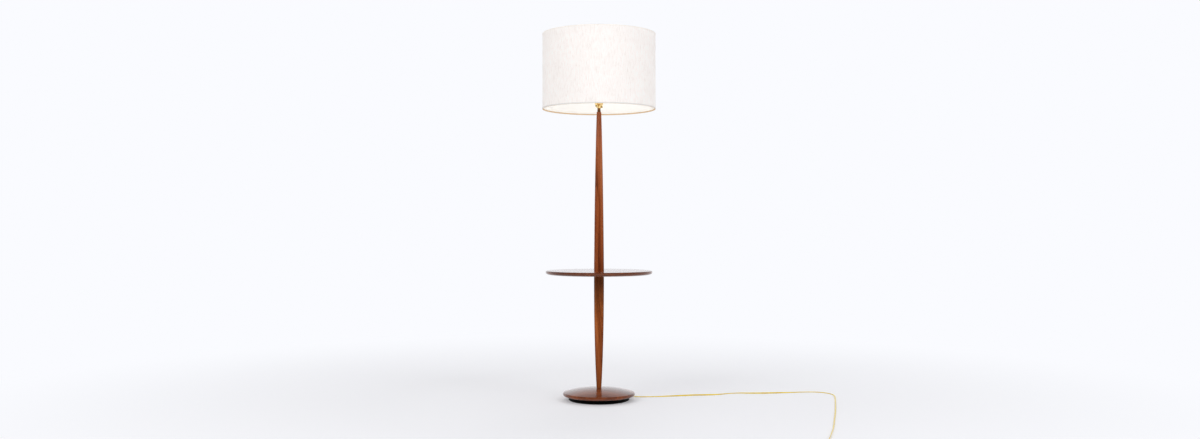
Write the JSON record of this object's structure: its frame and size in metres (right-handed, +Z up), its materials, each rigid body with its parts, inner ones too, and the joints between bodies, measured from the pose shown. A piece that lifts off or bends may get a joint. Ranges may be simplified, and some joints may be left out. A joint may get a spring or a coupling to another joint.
{
  "type": "floor lamp with table",
  "caption": "Floor lamp: a turned wooden column through a round table, a weighted dome base, a harp and screw socket, a linen drum shade, and a flat cord with its spare length coiled.",
  "frame": {"origin": "on the floor at the column's axis, under the felt pad", "axes": "+Z up along the column, -Y towards the picture's camera, +X to its right, where the cord leaves"},
  "size_m": [1.2063, 1.2335, 1.481],
  "materials": {
    "felt": "matt felt",
    "cast_iron": "black painted casting",
    "steel": "zinc plated",
    "base_wood": "satin lacquer, dark walnut",
    "column_wood": "satin lacquer, warm walnut",
    "table_wood": "gloss lacquer, walnut",
    "bronze": "antique finish",
    "brass": "polished",
    "phenolic": "moulded phenolic",
    "fibre": "pressed fibre",
    "black_glass": "fused bead with solder contact",
    "nickel": "rolled thread",
    "bulb_glass": "frosted inside",
    "white_enamel": "white powder coat",
    "linen": "slub linen on a stiff lining",
    "trim_tape": "woven tape",
    "cord_jacket": "gold PVC twin cord",
    "dark_plastic": "moulded PVC",
    "black_plastic": "cord tie"
  },
  "bodies": {
    "stand": {"base_weight": "cast_iron", "felt_pad": "felt", "base_screws": "steel", "base_dome": "base_wood", "pipe_washer": "steel", "pipe_nut": "brass", "threaded_pipe": "steel", "inner_lead": "cord_jacket", "lower_column": "column_wood", "table_top": "table_wood", "upper_column": "column_wood", "brass_neck": "bronze", "harp_saddle": "brass", "socket_cap": "brass", "cap_lock_screw": "brass", "socket_core": "phenolic", "contact_shell": "brass", "insulating_sleeve": "fibre", "socket_shell": "brass", "harp_wire": "brass", "harp_stud": "brass", "cord_relief": "dark_plastic", "cord": "cord_jacket", "cord_coil": "cord_jacket", "cord_tie": "black_plastic", "plug_body": "dark_plastic", "plug_blades": "brass"},
    "switch": {"switch_stem": "steel", "switch_knob": "phenolic"},
    "shade": {"shade_drum": "linen", "shade_spider": "white_enamel", "shade_bottom_ring": "white_enamel", "shade_top_trim": "trim_tape", "shade_bottom_trim": "trim_tape"},
    "finial_carrier": {"finial_washer": "brass"},
    "finial_knob": {"finial": "brass"},
    "bulb_carrier": {"bulb_contact": "black_glass"},
    "bulb": {"bulb_cap": "nickel", "bulb_glass": "bulb_glass"},
    "left_sleeve": {"ferrule_left": "brass"},
    "right_sleeve": {"ferrule_right": "brass"}
  },
  "joints": [
    {"name": "switch_turn", "type": "hinge", "parent": "stand", "child": "switch", "pos_m": [0, 0, 1.219], "axis": [0.866, -0.5, 0], "continuous": true},
    {"name": "shade_turn", "type": "hinge", "parent": "stand", "child": "shade", "pos_m": [0, 0, 1.442], "axis": [0, 0, 1], "continuous": true},
    {"name": "finial_rise", "type": "slide", "parent": "stand", "child": "finial_carrier", "axis": [0, 0, 1], "range_m": [0, 0.0094]},
    {"name": "finial_turn", "type": "hinge", "parent": "finial_carrier", "child": "finial_knob", "pos_m": [0, 0, 1.458], "axis": [0, 0, 1], "range_deg": [0, 3600]},
    {"name": "bulb_rise", "type": "slide", "parent": "stand", "child": "bulb_carrier", "axis": [0, 0, 1], "range_m": [0, 0.0182]},
    {"name": "bulb_turn", "type": "hinge", "parent": "bulb_carrier", "child": "bulb", "pos_m": [0, 0, 1.24], "axis": [0, 0, 1], "range_deg": [0, 1800]},
    {"name": "left_sleeve_lift", "type": "slide", "parent": "stand", "child": "left_sleeve", "axis": [0, 0, 1], "range_m": [0, 0.0095]},
    {"name": "right_sleeve_lift", "type": "slide", "parent": "stand", "child": "right_sleeve", "axis": [0, 0, 1], "range_m": [0, 0.0095]}
  ],
  "couplings": [
    {"joint": "finial_turn", "follows": "finial_rise", "rad_per_m": 6684.2},
    {"joint": "bulb_rise", "follows": "bulb_turn", "m_per_rad": 0.0005776}
  ]
}
